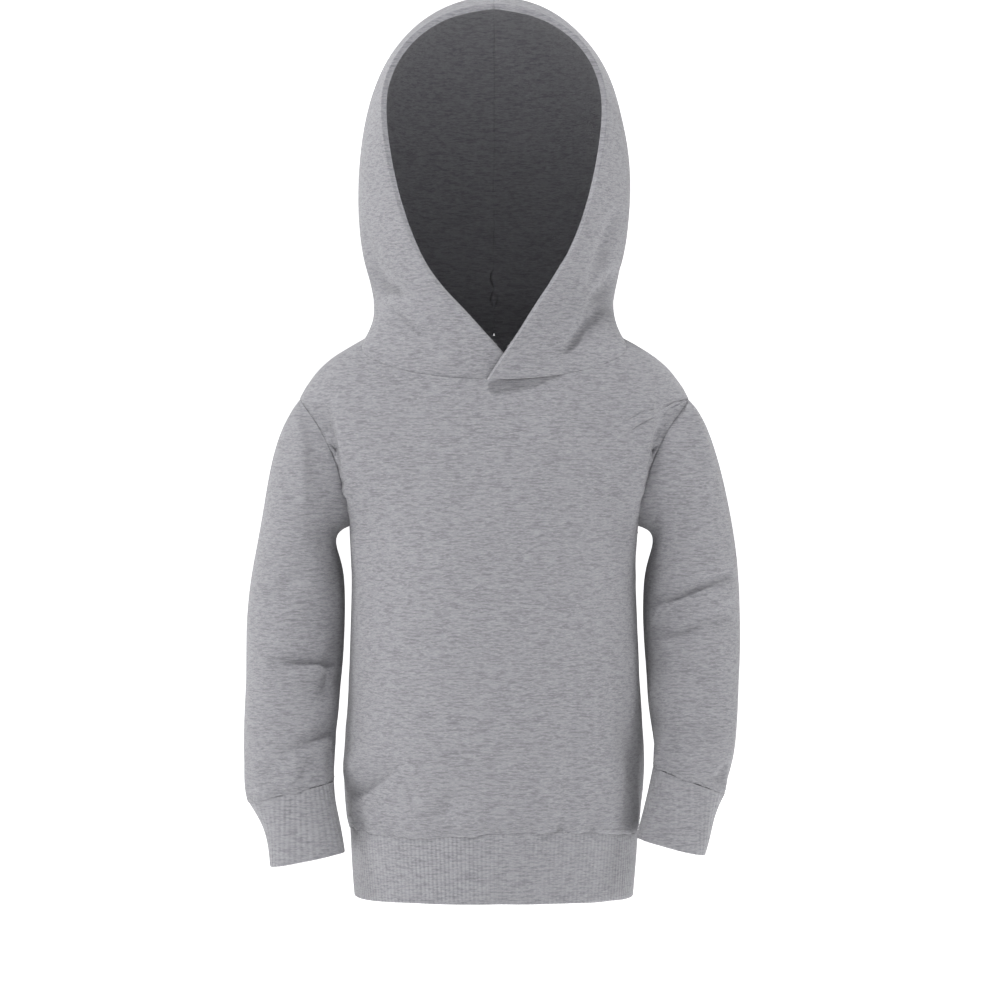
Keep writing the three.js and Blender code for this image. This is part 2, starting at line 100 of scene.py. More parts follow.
# Each fold runs along a line, from start to end, as seen along an axis: "Y" is seen from the
# front or back as (x, z), "X" from the side as (y, z). Lengths are in millimetres, and a negative
# height is a trough. A fold seen along Y acts on the cloth that faces that way, and one seen
# along X on both sides of the hood's half.
FOLDS = {
    "front_panel": [
        {"see": "Y", "start": (-104, -44), "end": (-95, -150), "wide": 6, "high": 2.4},
        {"see": "Y", "start": (-113, -58), "end": (-104, -92), "wide": 5, "high": -3.0},
        {"see": "Y", "start": (104, -42), "end": (98, -140), "wide": 6, "high": 2.4},
        {"see": "Y", "start": (112, -60), "end": (104, -100), "wide": 5, "high": -3.2},
        {"see": "Y", "start": (-98, -306), "end": (-66, -286), "wide": 5, "high": -2.6},
        {"see": "Y", "start": (-104, -292), "end": (-84, -280), "wide": 7, "high": 2.2},
        {"see": "Y", "start": (-46, -322), "end": (-22, -300), "wide": 6, "high": -1.4},
        {"see": "Y", "start": (51, -250), "end": (52, -305), "wide": 6, "high": -1.5},
        {"see": "Y", "start": (14, -318), "end": (22, -292), "wide": 7, "high": -1.0},
        {"see": "Y", "start": (88, -262), "end": (97, -306), "wide": 6, "high": -2.2},
        {"see": "Y", "start": (-62, -60), "end": (-44, -96), "wide": 12, "high": -0.9},
        {"see": "Y", "start": (60, -64), "end": (48, -104), "wide": 12, "high": -0.8},
    ],
    "back_panel": [
        {"see": "Y", "start": (-104, -50), "end": (-88, -150), "wide": 7, "high": 2.4},
        {"see": "Y", "start": (-112, -62), "end": (-102, -104), "wide": 5, "high": -3.0},
        {"see": "Y", "start": (105, -46), "end": (90, -162), "wide": 7, "high": 2.4},
        {"see": "Y", "start": (112, -58), "end": (103, -110), "wide": 5, "high": -3.0},
        {"see": "Y", "start": (-34, -320), "end": (-16, -262), "wide": 7, "high": -2.2},
        {"see": "Y", "start": (38, -318), "end": (46, -276), "wide": 8, "high": -2.0},
        {"see": "Y", "start": (-84, -304), "end": (-52, -292), "wide": 6, "high": -2.0},
        {"see": "Y", "start": (70, -300), "end": (92, -282), "wide": 7, "high": -1.8},
        {"see": "Y", "start": (-30, -38), "end": (-8, -52), "wide": 10, "high": -1.0},
    ],
    "sleeve_right": [
        {"see": "Y", "start": (-148, -217), "end": (-108, -216), "wide": 4, "high": -2.8},
        {"see": "Y", "start": (-150, -226), "end": (-112, -226), "wide": 6, "high": 1.4},
        {"see": "Y", "start": (-138, -276), "end": (-106, -261), "wide": 4.5, "high": -2.6},
        {"see": "Y", "start": (-154, -178), "end": (-130, -158), "wide": 7, "high": -1.5},
        {"see": "Y", "start": (-131, -48), "end": (-127, -108), "wide": 5, "high": 1.6},
        {"see": "Y", "start": (-160, -300), "end": (-148, -286), "wide": 5, "high": -1.8},
        {"see": "Y", "start": (-130, -298), "end": (-124, -284), "wide": 4, "high": -1.6},
        {"see": "Y", "start": (-114, -240), "end": (-106, -206), "wide": 5, "high": -1.8},
    ],
    "sleeve_left": [
        {"see": "Y", "start": (108, -179), "end": (158, -158), "wide": 4.5, "high": -2.8},
        {"see": "Y", "start": (110, -189), "end": (160, -170), "wide": 6, "high": 1.4},
        {"see": "Y", "start": (112, -200), "end": (134, -194), "wide": 5, "high": -1.8},
        {"see": "Y", "start": (124, -271), "end": (154, -256), "wide": 5, "high": -2.0},
        {"see": "Y", "start": (135, -44), "end": (146, -88), "wide": 5, "high": 1.6},
        {"see": "Y", "start": (112, -276), "end": (122, -262), "wide": 4, "high": -1.8},
        {"see": "Y", "start": (146, -300), "end": (156, -286), "wide": 4.5, "high": -1.8},
        {"see": "Y", "start": (130, -226), "end": (152, -232), "wide": 8, "high": -1.0},
    ],
    "hood_right": [
        {"see": "Y", "start": (-72, 20), "end": (-40, -7), "wide": 4, "high": -2.8},
        {"see": "Y", "start": (-78, 44), "end": (-62, 30), "wide": 4, "high": -2.0},
        {"see": "Y", "start": (-62, 12), "end": (-34, -16), "wide": 5, "high": 1.6},
        {"see": "X", "start": (28, 20), "end": (62, 62), "wide": 9, "high": -3.0},
        {"see": "X", "start": (8, 30), "end": (24, 84), "wide": 10, "high": -2.2},
        {"see": "X", "start": (-30, 22), "end": (-22, 70), "wide": 8, "high": -1.6},
        {"see": "X", "start": (50, 24), "end": (88, 48), "wide": 8, "high": -2.4},
    ],
    "hood_left": [
        {"see": "Y", "start": (83, 46), "end": (58, 16), "wide": 4, "high": -2.4},
        {"see": "Y", "start": (82, 84), "end": (64, 34), "wide": 4.5, "high": -2.2},
        {"see": "Y", "start": (74, 24), "end": (48, -8), "wide": 4, "high": -2.6},
        {"see": "Y", "start": (64, 26), "end": (44, 0), "wide": 4, "high": 1.6},
        {"see": "X", "start": (24, 18), "end": (58, 58), "wide": 9, "high": -3.0},
        {"see": "X", "start": (2, 28), "end": (16, 90), "wide": 10, "high": -2.0},
        {"see": "X", "start": (46, 26), "end": (84, 54), "wide": 8, "high": -2.4},
    ],
}

FOLD_DEPTH = 1.9  # every fold's height is multiplied by this
TAPER_FLOOR = 0.35  # the share of a fold's height that doesn't taper along it
TAPER_MARGIN = 0.05  # how far into a half wave the taper starts, and how far short it stops
FACING_GAIN = 1.6  # how fast a fold comes in as the cloth turns to face its axis
FACING_EARLY = 0.15  # how much of a front or back fold shows on cloth that is edge on
SOFT_WAVE_HIGH = 0.35 * MM
SEAM_FADE = 9 * MM  # folds and waves die away this near a seam

# Small puckers beside a gathered seam: the cloth just past it swells and dips.
PUCKER_WAVE = 17 * MM  # from one pucker to the next, before they are made uneven
PUCKER_REACH = 16 * MM
PUCKER_HIGH = 1.5 * MM
PUCKERED = {
    "front_panel": ["waistband"],
    "back_panel": ["waistband"],
    "sleeve_right": ["cuff_right"],
    "sleeve_left": ["cuff_left"],
}


def along_fold(points, fold):
    """How much of a fold's height each point gets, from 0 to 1."""
    columns = [0, 2] if fold["see"] == "Y" else [1, 2]
    flat = points[:, columns]
    start = np.array(fold["start"]) * MM
    run = np.array(fold["end"]) * MM - start
    share = np.clip(((flat - start) @ run) / (run @ run), 0, 1)
    away = np.linalg.norm(flat - start - share[:, None] * run, axis=1)
    half_wave = share * (1 - 2 * TAPER_MARGIN) + TAPER_MARGIN
    taper = TAPER_FLOOR + (1 - TAPER_FLOOR) * np.sin(math.pi * half_wave)
    return np.exp(-((away / (fold["wide"] * MM)) ** 2)) * taper


def fold_height(name, points, facing):
    """The height in metres of all of a piece's folds at its points."""
    height = np.zeros(len(points))
    side = 1 if name == "back_panel" else -1
    for fold in FOLDS.get(name, []):
        if fold["see"] == "X":
            seen = np.clip(np.abs(facing[:, 0]) * FACING_GAIN, 0, 1)
        else:
            seen = np.clip(side * facing[:, 1] * FACING_GAIN + FACING_EARLY, 0, 1)
        height += FOLD_DEPTH * fold["high"] * MM * along_fold(points, fold) * seen
    return height


def soft_waves(points, amount):
    """A slow unevenness, so that no panel is perfectly smooth.

    The divisors set the waves' lengths in millimetres, and share no common length.
    """
    x, y, z = (points / MM).T
    slow = np.sin(x / 23 + 1.7 * np.sin(z / 41)) * np.sin(z / 31 + y / 27)
    quick = np.sin(x / 11 - z / 17 + y / 13)
    return amount * (slow + 0.5 * quick)


def pucker_height(points, seam):
    """Puckers beside a seam: none on it, most at half of PUCKER_REACH, then fading."""
    away = nearest_distance(points, seam) / PUCKER_REACH
    x, y, _ = (points / PUCKER_WAVE).T
    wave = np.sin(4.1 * x + 2.3 * np.sin(1.3 * y)) + 0.6 * np.sin(6.7 * y + 1.9 * x)
    return PUCKER_HIGH * wave * away * np.exp(1 - away * 2)


def nearest_distance(points, others):
    """The distance from each point to the nearest of some others."""
    tree = KDTree(len(others))
    for index, other in enumerate(others):
        tree.insert(other, index)
    tree.balance()
    return np.array([tree.find(point)[2] for point in points])


# ---- Cloth grown from the solids -------------------------------------------------------------

SMOOTHING_LEVELS = 3
QUAD_ANGLE = math.radians(60)
RIM_CREASE = 0.72
SEAM_REACH = 1.2 * MM  # two solids' points this near lie on one seam


def mesh_vectors(mesh, kind="co"):
    """The places of a mesh's points or, with kind "normal", which way they face."""
    values = np.empty(len(mesh.vertices) * 3)
    mesh.vertices.foreach_get(kind, values)
    return values.reshape(-1, 3)


def node_points(node):
    return mesh_vectors(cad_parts[node].data)


def seam_points(node, others):
    """The points of a solid that lie on its seams with some others."""
    own = node_points(node)
    near = np.concatenate([node_points(other) for other in others])
    return own[nearest_distance(own, near) < SEAM_REACH]


def close_seams(node, mesh):
    """Brings a wall's edges to where all the walls' edges meet, so that no light passes a seam."""
    own = node_points(node)
    total = own.copy()
    count = np.ones(len(own))
    for other in CUTS:
        if other == node:
            continue
        near = node_points(other)
        gaps = np.sqrt(((own[:, None, :] - near[None, :, :]) ** 2).sum(axis=2))
        joined = gaps.min(axis=1) < SEAM_REACH
        total[joined] += near[gaps.argmin(axis=1)[joined]]
        count[joined] += 1
    mesh.vertices.foreach_set("co", (total / count[:, None]).ravel())


def cloth_mesh(node):
    """A smooth wall of cloth from the node's own wall, still sharp along its cut edges."""
    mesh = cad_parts[node].data.copy()
    close_seams(node, mesh)
    work = bmesh.new()
    work.from_mesh(mesh)
    bmesh.ops.remove_doubles(work, verts=work.verts, dist=1e-6)
    bmesh.ops.join_triangles(
        work,
        faces=work.faces,
        angle_face_threshold=QUAD_ANGLE,
        angle_shape_threshold=math.pi,
    )
    crease = work.edges.layers.float.new("crease_edge")
    for edge in work.edges:
        if len(edge.link_faces) == 2 and edge.calc_face_angle(0) > QUAD_ANGLE:
            edge[crease] = RIM_CREASE
    work.to_mesh(mesh)
    work.free()
    return mesh


def move_points(mesh, heights):
    """Moves a mesh's points along their outward direction by heights in metres."""
    points = mesh_vectors(mesh) + mesh_vectors(mesh, "normal") * heights[:, None]
    mesh.vertices.foreach_set("co", points.ravel())
    mesh.update()


def hollow_middle(node):
    """The middle of the hollow that a piece goes round: an arm's own, or the garment's."""
    return node_mid(node) if node.startswith(("sleeve", "cuff")) else np.zeros(3)


def outward(points, normals, node):
    """Which way the cloth faces at each point, and which points are on its inner face."""
    from_middle = points - hollow_middle(node)
    from_middle[:, 2] = 0
    inner = (normals * from_middle).sum(axis=1) < 0
    facing = normals.copy()
    facing[inner] *= -1
    return facing, inner


def make_cloth(node):
    """One cut piece as a smooth, creased wall of cloth."""
    name = "cloth_" + node
    piece = bpy.data.objects.new(name, cloth_mesh(node))
    bpy.context.scene.collection.objects.link(piece)
    smooth = piece.modifiers.new("smooth", "SUBSURF")
    smooth.levels = SMOOTHING_LEVELS
    smooth.render_levels = SMOOTHING_LEVELS
    graph = bpy.context.evaluated_depsgraph_get()
    mesh = bpy.data.meshes.new_from_object(piece.evaluated_get(graph))
    mesh.name = name
    piece.modifiers.clear()
    piece.data = mesh
    points = mesh_vectors(mesh)
    facing, inner = outward(points, mesh_vectors(mesh, "normal"), node)
    heights = fold_height(node, points, facing) + soft_waves(points, SOFT_WAVE_HIGH)
    neighbours = [other for other in CUTS if other != node]
    on_seam = seam_points(node, neighbours)
    heights *= np.clip(nearest_distance(points, on_seam) / SEAM_FADE, 0, 1)
    if node in PUCKERED:
        heights += pucker_height(points, seam_points(node, PUCKERED[node]))
    heights[inner] *= -1
    move_points(mesh, heights)
    mesh.polygons.foreach_set("use_smooth", [True] * len(mesh.polygons))
    return piece


# ---- Stitches ----------------------------------------------------------------------------------

STITCH_LONG = 2.6 * MM
STITCH_PITCH = 3.6 * MM
STITCH_THICK = 0.55 * MM
STITCH_PROUD = 0.1 * MM
STITCH_SIDES = 6
# Rings along a stitch, as shares: along of its length, out and thick of its thickness.
STITCH_RINGS = (
    {"along": -0.5, "out": -0.5, "thick": 0.55},
    {"along": -0.25, "out": 0.1, "thick": 1.0},
    {"along": 0.25, "out": 0.1, "thick": 1.0},
    {"along": 0.5, "out": -0.5, "thick": 0.55},
)

# Rows of topstitching beside a seam: on is the piece stitched, along are its neighbours there,
# and rows are how far each row lies from the seam, in millimetres.
TOPSTITCHING = [
    {"name": "neck_front", "on": "front_panel", "along": ["hood_left", "hood_right"], "rows": (3, 8)},
    {"name": "neck_back", "on": "back_panel", "along": ["hood_left", "hood_right"], "rows": (3, 8)},
    {"name": "armhole_right_front", "on": "front_panel", "along": ["sleeve_right"], "rows": (3, 8)},
    {"name": "armhole_left_front", "on": "front_panel", "along": ["sleeve_left"], "rows": (3, 8)},
    {"name": "armhole_right_back", "on": "back_panel", "along": ["sleeve_right"], "rows": (3, 8)},
    {"name": "armhole_left_back", "on": "back_panel", "along": ["sleeve_left"], "rows": (3, 8)},
    {"name": "waist_front", "on": "front_panel", "along": ["waistband"], "rows": (3, 8)},
    {"name": "waist_back", "on": "back_panel", "along": ["waistband"], "rows": (3, 8)},
    {"name": "cuff_right", "on": "sleeve_right", "along": ["cuff_right"], "rows": (3,)},
    {"name": "cuff_left", "on": "sleeve_left", "along": ["cuff_left"], "rows": (3,)},
]
HOOD_HEM_ROWS = (11.0, 16.0)  # from the face edge, in millimetres
JUMP = 30 * MM  # a line of seam points ends before a longer step than this
START_LEAN = 0.3  # a line starts low, and this much towards the wearer's right
LINE_SMOOTHING = 2  # passes
LINE_REACH = 8 * MM  # a stitch is left out where the cloth is farther than this from its line
ROW_REACH = 3 * MM  # or farther than this from its row's place
EDGE_LOOK = 5 * MM  # seam points this near are compared to find the outer face
EDGE_SLACK = 0.3 * MM


def ordered(points):
    """Seam points as one line, each followed by the nearest one left."""
    left = list(range(len(points)))
    ends = points[:, 2] + points[:, 0] * START_LEAN
    at = int(np.argmin(ends))
    line = [at]
    left.remove(at)
    while left:
        gaps = np.linalg.norm(points[left] - points[at], axis=1)
        nearest = int(np.argmin(gaps))
        if gaps[nearest] > JUMP:
            break
        at = left.pop(nearest)
        line.append(at)
    return points[line]


def spaced(line, pitch):
    """Points at an even pitch along a line."""
    steps = np.linalg.norm(np.diff(line, axis=0), axis=1)
    way = np.concatenate([[0], np.cumsum(steps)])
    count = max(int(way[-1] / pitch), 2)
    at = np.linspace(0, way[-1], count)
    return np.stack([np.interp(at, way, line[:, k]) for k in range(3)], axis=1)


def smoothed(line, passes):
    for _ in range(passes):
        line[1:-1] = (line[:-2] + 2 * line[1:-1] + line[2:]) / 4
    return line


def surface_of(piece):
    graph = bpy.context.evaluated_depsgraph_get()
    return BVHTree.FromObject(piece, graph)


def outer_edge(node, others):
    """The line along a solid's outer face where it meets some others."""
    points = seam_points(node, others)
    reach = np.linalg.norm((points - hollow_middle(node))[:, :2], axis=1)
    keep = []
    for index, point in enumerate(points):
        near = np.linalg.norm(points - point, axis=1) < EDGE_LOOK
        keep.append(reach[index] >= reach[near].max() - EDGE_SLACK)
    return points[np.array(keep)]


def stitch_row(work, tree, line, towards, offset):
    """A row of short threads, laid on the cloth at an offset from a line towards a point."""
    centres = spaced(smoothed(line.copy(), LINE_SMOOTHING), STITCH_PITCH)
    for index in range(1, len(centres) - 1):
        along = Vector(centres[index + 1] - centres[index - 1]).normalized()
        start = Vector(centres[index])
        inward = Vector(towards) - start
        inward = (inward - along * inward.dot(along)).normalized()
        found, normal, _, gap = tree.find_nearest(start)
        if found is None or gap > LINE_REACH:
            continue
        side = normal.cross(along).normalized()
        if side.dot(inward) < 0:
            side = -side
        place, normal, _, gap = tree.find_nearest(found + side * offset)
        if place is None or gap > ROW_REACH:
            continue
        add_thread(work, place + normal * STITCH_PROUD, along, normal)


def add_thread(work, centre, along, normal):
    """One stitch: a short thread that dips into the cloth at both ends."""
    side = along.cross(normal).normalized()
    rings = []
    for shape in STITCH_RINGS:
        middle = centre + along * (shape["along"] * STITCH_LONG) + normal * (shape["out"] * STITCH_THICK)
        ring = []
        for step in range(STITCH_SIDES):
            angle = 2 * math.pi * step / STITCH_SIDES
            radius = STITCH_THICK * shape["thick"] / 2
            offset = side * math.cos(angle) * radius + normal * math.sin(angle) * radius
            ring.append(work.verts.new(middle + offset))
        rings.append(ring)
    for lower, upper in zip(rings, rings[1:]):
        for step in range(STITCH_SIDES):
            after = (step + 1) % STITCH_SIDES
            work.faces.new((lower[step], lower[after], upper[after], upper[step]))
    work.faces.new(list(reversed(rings[0])))
    work.faces.new(rings[-1])


def finish_stitches(work, name, material):
    bmesh.ops.recalc_face_normals(work, faces=work.faces)
    mesh = bpy.data.meshes.new(name)
    work.to_mesh(mesh)
    work.free()
    mesh.polygons.foreach_set("use_smooth", [True] * len(mesh.polygons))
    mesh.materials.append(material)
    piece = bpy.data.objects.new(name, mesh)
    bpy.context.scene.collection.objects.link(piece)
    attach(piece, BODY)


def seam_stitches(row, material):
    """The rows of topstitching beside one seam."""
    work = bmesh.new()
    tree = surface_of(bpy.data.objects["cloth_" + row["on"]])
    line = ordered(outer_edge(row["on"], row["along"]))
    towards = node_mid(row["on"])
    for offset in row["rows"]:
        stitch_row(work, tree, line, towards, offset * MM)
    finish_stitches(work, "stitches_" + row["name"], material)


FACE_LOW_Z = -0.020
FACE_STEP = 0.010  # from one level of the face edge to the next
FACE_LEVEL_HALF = 0.012  # how far above and below a level its points are looked for
FACE_BACK_Y = -0.055  # the edge lies in front of this
CROWN_Z = 0.19  # from here up the edge is the foremost point, and below it the innermost
HOOD_MIDDLE_Z = 0.10


def face_edge(node):
    """The line round the face opening on one half of the hood, from neck to top."""
    points = node_points(node)
    sign = 1 if node.endswith("left") else -1
    line = []
    for level in np.arange(FACE_LOW_Z, HOOD_TOP_Z - FACE_STEP, FACE_STEP):
        here = points[np.abs(points[:, 2] - level) < FACE_LEVEL_HALF]
        here = here[here[:, 1] < FACE_BACK_Y]
        if len(here) == 0:
            continue
        ranked = here[:, 0] * sign if level < CROWN_Z else here[:, 1]
        line.append(here[np.argmin(ranked)])
    return np.array(line)


def hem_stitches(node, material):
    """The two rows that hold the hem turned in round the face."""
    work = bmesh.new()
    tree = surface_of(bpy.data.objects["cloth_" + node])
    line = face_edge(node)
    side_x = node_high(node)[0] if node.endswith("left") else node_low(node)[0]
    towards = np.array([side_x, 0.0, HOOD_MIDDLE_Z])
    for offset in HOOD_HEM_ROWS:
        stitch_row(work, tree, line, towards, offset * MM)
    finish_stitches(work, "stitches_" + node + "_hem", material)


# ---- Materials ---------------------------------------------------------------------------------


class Value:
    """A shader socket with arithmetic: each operation adds its Math node."""

    def __init__(self, shader, socket):
        self.shader = shader
        self.socket = socket

    def _math(self, operation, *values):
        return self.shader.node("ShaderNodeMath", {"operation": operation}, dict(enumerate(values)))

    def __add__(self, other):
        return self._math("ADD", self, other)

    def __radd__(self, other):
        return self._math("ADD", other, self)

    def __sub__(self, other):
        return self._math("SUBTRACT", self, other)

    def __rsub__(self, other):
        return self._math("SUBTRACT", other, self)

    def __mul__(self, other):
        return self._math("MULTIPLY", self, other)

    def __rmul__(self, other):
        return self._math("MULTIPLY", other, self)

    def sine(self):
        return self._math("SINE", self)

    def clamp(self):
        return self.shader.node("ShaderNodeClamp", {}, {0: self})

    def angle_of(self, other):
        return self._math("ARCTAN2", self, other)


class Shader:
    """A material's node tree, with one way to add a node."""

    def __init__(self, name):
        self.material = bpy.data.materials.new(name)
        self.material.use_nodes = True
        self.tree = self.material.node_tree
        self.surface = self.tree.nodes["Principled BSDF"]

    def node(self, kind, settings, inputs, output=0):
        made = self.tree.nodes.new(kind)
        for key, setting in settings.items():
            setattr(made, key, setting)
        for key, value in inputs.items():
            self.feed(made.inputs[key], value)
        return Value(self, made.outputs[output])

    def feed(self, socket, value):
        if isinstance(value, Value):
            self.tree.links.new(value.socket, socket)
        else:
            socket.default_value = value

    def noise(self, vector, detail, roughness=0.5):
        inputs = {"Vector": vector, "Scale": 1.0, "Detail": detail, "Roughness": roughness}
        return self.node("ShaderNodeTexNoise", {}, inputs)

    def place(self):
        return self.node("ShaderNodeTexCoord", {}, {}, "Object")

    def stretched(self, vector, scale):
        return self.node("ShaderNodeMapping", {}, {"Vector": vector, "Scale": scale})

    def mix(self, share, low, high):
        made = self.tree.nodes.new("ShaderNodeMix")
        made.data_type = "RGBA"
        self.feed(made.inputs["Factor"], share)
        self.feed(made.inputs[6], low)
        self.feed(made.inputs[7], high)
        return Value(self, made.outputs[2])

    def bump(self, height, distance, strength):
        inputs = {"Height": height, "Distance": distance, "Strength": strength}
        return self.node("ShaderNodeBump", {}, inputs)


# How finely each pattern changes along x, y and z, in features a metre.
LONG_STREAKS = (150, 150, 900)
FINE_STREAKS = (420, 420, 1700)
CLOUDS = (26, 26, 38)
NAP = (1400, 1400, 1900)
TWIST = (2200, 2200, 2200)

# How far the surface seems to rise, in metres.
NAP_HIGH = 0.0011
RIB_HIGH = 0.0010
TWIST_HIGH = 0.0003

HEATHER_DARK = (0.205, 0.203, 0.222, 1)
HEATHER_MID = (0.330, 0.328, 0.350, 1)
HEATHER_LIGHT = (0.470, 0.468, 0.492, 1)
THREAD_COLOUR = (0.36, 0.36, 0.38, 1)
RIB_DARKER = 0.94  # the rib's dark fibres against the fleece's
THREAD_DARKER = 0.86
RIB_ROUGHNESS = 0.93
THREAD_ROUGHNESS = 0.7
SHEEN = 0.22
SHEEN_ROUGHNESS = 0.6
SPECULAR = 0.15


def darkened(colour, share):
    return tuple(part * share for part in colour[:3]) + (1,)


def heather(shader, darker=1.0):
    """Melange: short level streaks of lighter and darker fibre over a mid grey."""
    place = shader.place()
    long_streak = shader.noise(shader.stretched(place, LONG_STREAKS), 3.0, 0.6)
    fine_streak = shader.noise(shader.stretched(place, FINE_STREAKS), 2.0, 0.6)
    cloud = shader.noise(shader.stretched(place, CLOUDS), 3.0)
    dark = ((long_streak - 0.42) * 4.0 + (fine_streak - 0.5) * 1.6 + 0.42).clamp()
    light = ((fine_streak - 0.52) * 5.0 + (long_streak - 0.5) * 1.5).clamp()
    base = shader.mix(dark, darkened(HEATHER_DARK, darker), HEATHER_MID)
    base = shader.mix(light * 0.55, base, HEATHER_LIGHT)
    base = shader.mix((cloud * 0.30).clamp(), base, HEATHER_MID)
    return base, long_streak, fine_streak


def fleece_material():
    shader = Shader("heather_fleece")
    colour, long_streak, fine_streak = heather(shader)
    nap = shader.noise(shader.stretched(shader.place(), NAP), 3.0, 0.7)
    height = nap * 0.55 + long_streak * 0.25 + fine_streak * 0.35
    shader.feed(shader.surface.inputs["Base Color"], colour)
    shader.feed(shader.surface.inputs["Normal"], shader.bump(height, NAP_HIGH, 0.55))
    shader.feed(shader.surface.inputs["Roughness"], (0.88 + nap * 0.1).clamp())
    set_cloth_constants(shader)
    return shader.material


def rib_material(name, centre, ribs):
    """The heather with fine upright ribs round a tube's centre."""
    shader = Shader(name)
    colour, long_streak, fine_streak = heather(shader, RIB_DARKER)
    place = shader.place()
    parts = shader.tree.nodes.new("ShaderNodeSeparateXYZ")
    shader.feed(parts.inputs[0], place)
    across = Value(shader, parts.outputs[0]) - float(centre[0])
    deep = Value(shader, parts.outputs[1]) - float(centre[1])
    rib = (deep.angle_of(across) * float(ribs)).sine()
    height = rib * 0.40 + fine_streak * 0.35 + long_streak * 0.15
    shade = (rib * 0.10 + 0.10).clamp()
    shader.feed(shader.surface.inputs["Base Color"], shader.mix(shade, colour, HEATHER_MID))
    shader.feed(shader.surface.inputs["Normal"], shader.bump(height, RIB_HIGH, 0.5))
    shader.feed(shader.surface.inputs["Roughness"], RIB_ROUGHNESS)
    set_cloth_constants(shader)
    return shader.material


def thread_material():
    shader = Shader("grey_thread")
    place = shader.place()
    twist = shader.noise(shader.stretched(place, TWIST), 2.0)
    low = darkened(THREAD_COLOUR, THREAD_DARKER)
    shader.feed(shader.surface.inputs["Base Color"], shader.mix(twist, low, THREAD_COLOUR))
    shader.feed(shader.surface.inputs["Normal"], shader.bump(twist, TWIST_HIGH, 0.4))
    shader.feed(shader.surface.inputs["Roughness"], THREAD_ROUGHNESS)
    return shader.material


def set_cloth_constants(shader):
    shader.surface.inputs["Sheen Weight"].default_value = SHEEN
    shader.surface.inputs["Sheen Roughness"].default_value = SHEEN_ROUGHNESS
    shader.surface.inputs["Specular IOR Level"].default_value = SPECULAR


RIB_COUNTS = {  # ribs all the way round
    "waistband": 190,
    "cuff_right": 46,
    "cuff_left": 46,
}


def material_for(node):
    if node in RIB_COUNTS:
        return rib_material("heather_rib_" + node, node_mid(node), RIB_COUNTS[node])
    return bpy.data.materials.get("heather_fleece") or fleece_material()


# ---- Studio ------------------------------------------------------------------------------------

CAMERA_FAR = 3.4
CAMERA_SENSOR = 36  # millimetres
CAMERA_SEES_TO = 50
VIEW_SIZE = 0.669  # how much of the garment's plane the picture takes in
VIEW_MIDDLE = (-0.0014, -0.102)
FLOOR_BELOW_HEM = 0.100
FLOOR_HALF = 9.0
WALL_Y = 5.0
WALL_TOP = 7.0
SWEEP = 1.5  # radius of the bend between floor and wall
SWEEP_STEPS = 12
FLOOR_GLOW = 0.62
STUDIO_WHITE = (0.90, 0.90, 0.90, 1)
WORLD_STRENGTH = 0.20
LIGHT_TARGET = (0, 0, -0.08)
LIGHTS = [
    {"name": "light_above", "place": (-0.4, -1.0, 2.6), "watts": 54, "size": 0.5},
    {"name": "light_left", "place": (-2.5, -0.5, 0.9), "watts": 20, "size": 0.8},
    {"name": "light_right", "place": (2.5, -0.4, 0.9), "watts": 16, "size": 0.8},
]


def make_camera():
    camera = bpy.data.objects.new("camera", bpy.data.cameras.new("camera"))
    bpy.context.scene.collection.objects.link(camera)
    camera.location = (VIEW_MIDDLE[0], -CAMERA_FAR, VIEW_MIDDLE[1])
    camera.rotation_euler = (math.pi / 2, 0, 0)
    camera.data.sensor_width = CAMERA_SENSOR
    camera.data.lens = CAMERA_SENSOR * CAMERA_FAR / VIEW_SIZE
    camera.data.clip_end = CAMERA_SEES_TO
    bpy.context.scene.camera = camera


def make_floor():
    """A pale floor that sweeps up behind into a wall."""
    level = float(HEM_Z) - FLOOR_BELOW_HEM
    profile = [(-FLOOR_HALF, level), (WALL_Y - SWEEP, level)]
    for step in range(1, SWEEP_STEPS + 1):
        angle = math.pi / 2 * step / SWEEP_STEPS
        profile.append((WALL_Y - SWEEP + SWEEP * math.sin(angle), level + SWEEP * (1 - math.cos(angle))))
    profile.append((WALL_Y, WALL_TOP))
    corners = [(side * FLOOR_HALF, y, z) for y, z in profile for side in (-1, 1)]
    faces = [(2 * k, 2 * k + 1, 2 * k + 3, 2 * k + 2) for k in range(len(profile) - 1)]
    mesh = bpy.data.meshes.new("floor")
    mesh.from_pydata(corners, [], faces)
    shader = Shader("studio_floor")
    shader.feed(shader.surface.inputs["Base Color"], STUDIO_WHITE)
    shader.feed(shader.surface.inputs["Roughness"], 0.9)
    shader.feed(shader.surface.inputs["Emission Color"], (1, 1, 1, 1))
    shader.surface.inputs["Emission Strength"].default_value = FLOOR_GLOW
    mesh.materials.append(shader.material)
    floor = bpy.data.objects.new("floor", mesh)
    bpy.context.scene.collection.objects.link(floor)


def make_light(name, place, watts, size):
    data = bpy.data.lights.new(name, "AREA")
    data.energy = watts
    data.shape = "DISK"
    data.size = size
    light = bpy.data.objects.new(name, data)
    bpy.context.scene.collection.objects.link(light)
    light.location = place
    light.rotation_euler = (Vector(LIGHT_TARGET) - Vector(place)).to_track_quat("-Z", "Y").to_euler()


def make_studio():
    make_camera()
    make_floor()
    for light in LIGHTS:
        make_light(**light)
    world = bpy.data.worlds.new("studio")
    world.use_nodes = True
    background = world.node_tree.nodes["Background"]
    background.inputs["Color"].default_value = (1, 1, 1, 1)
    background.inputs["Strength"].default_value = WORLD_STRENGTH
    bpy.context.scene.world = world
    bpy.context.scene.view_settings.view_transform = "Standard"


# ---- Operators ---------------------------------------------------------------------------------


def sew(node):
    piece = make_cloth(node)
    piece.data.materials.clear()
    piece.data.materials.append(material_for(node))
    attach(piece, BODY)
    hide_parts(node)


